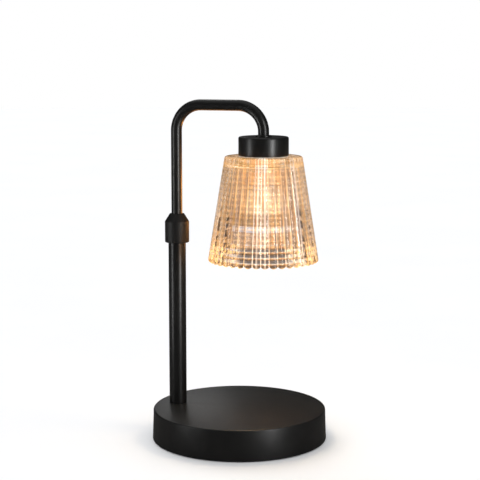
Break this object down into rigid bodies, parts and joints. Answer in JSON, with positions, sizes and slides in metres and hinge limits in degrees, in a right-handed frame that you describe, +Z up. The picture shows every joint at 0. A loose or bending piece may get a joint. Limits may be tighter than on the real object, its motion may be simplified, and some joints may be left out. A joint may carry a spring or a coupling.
{
  "type": "candle warmer lamp",
  "caption": "Table lamp that melts a candle from above: round weighted base, telescopic post with gooseneck arm, and a fluted clear glass shade around a twist-lock reflector lamp.",
  "frame": {"origin": "middle of the base's underside, on the surface that the lamp stands on", "axes": "+Z up, +X from the post towards the shade"},
  "size_m": [0.1609, 0.16, 0.3107],
  "materials": {
    "black_metal": "satin",
    "cast_iron": "matte",
    "zinc_steel": "satin",
    "brass": "satin",
    "natural_nylon": "satin",
    "foam_rubber": "matte",
    "black_rubber": "matte",
    "silicone": "satin",
    "lampholder_white": "satin",
    "ring_aluminium": "satin",
    "steatite": "matte",
    "wire_insulation": "satin",
    "shade_glass": "gloss",
    "bulb_glass": "gloss",
    "bulb_mirror": "polished",
    "bulb_white": "satin"
  },
  "bodies": {
    "stand": {"base_cover": "black_metal", "base_weight": "cast_iron", "weight_nuts": "zinc_steel", "bottom_plate": "zinc_steel", "bottom_screws": "zinc_steel", "non_slip_pad": "foam_rubber", "cord_inlet_bushing": "black_rubber", "terminal_block": "natural_nylon", "terminal_poles": "brass", "terminal_screws": "zinc_steel", "block_screw": "zinc_steel", "post_foot": "zinc_steel", "post_washer": "zinc_steel", "post_nut": "zinc_steel", "lower_tube": "black_metal", "stop_sleeve": "natural_nylon", "clamp_seat": "brass", "lower_lead": "wire_insulation", "slack_lead": "wire_insulation"},
    "collet": {"clamp_collet": "natural_nylon"},
    "collar": {"lock_collar": "black_metal"},
    "guide": {"guide_bush": "natural_nylon"},
    "arm": {"upper_tube": "black_metal", "bush_clips": "zinc_steel", "arm_lead": "wire_insulation", "cup_flange": "black_metal", "holder_cup": "black_metal", "cup_washer": "zinc_steel", "cup_nut": "brass", "holder_cap": "lampholder_white", "holder_skirt": "lampholder_white", "socket_core": "steatite", "socket_screws": "zinc_steel", "socket_contacts": "brass", "shade_ring": "ring_aluminium", "upper_gasket": "silicone", "lower_gasket": "silicone", "glass_shade": "shade_glass"},
    "bulb": {"bulb_reflector": "bulb_mirror", "bulb_lens": "bulb_glass", "bulb_base": "bulb_white", "bulb_pins": "zinc_steel", "bulb_capsule": "bulb_glass"}
  },
  "joints": [
    {"name": "height_slide", "type": "slide", "parent": "stand", "child": "guide", "axis": [0, 0, 1], "range_m": [0, 0.057], "deforming": ["slack_lead"]},
    {"name": "arm_swivel", "type": "hinge", "parent": "guide", "child": "arm", "pos_m": [-0.06, 0, 0.0877], "axis": [0, 0, 1], "range_deg": [-90, 90]},
    {"name": "collet_lift", "type": "slide", "parent": "stand", "child": "collet", "axis": [0, 0, 1], "range_m": [0, 0.001]},
    {"name": "collar_turn", "type": "hinge", "parent": "collet", "child": "collar", "pos_m": [-0.06, 0, 0.19], "axis": [0, 0, 1], "range_deg": [0, 360]},
    {"name": "bulb_twist", "type": "hinge", "parent": "arm", "child": "bulb", "pos_m": [0.0226, 0, 0.24], "axis": [0, 0, -1], "range_deg": [0, 40]}
  ],
  "couplings": [
    {"joint": "collet_lift", "follows": "collar_turn", "m_per_rad": 0.00015915}
  ]
}
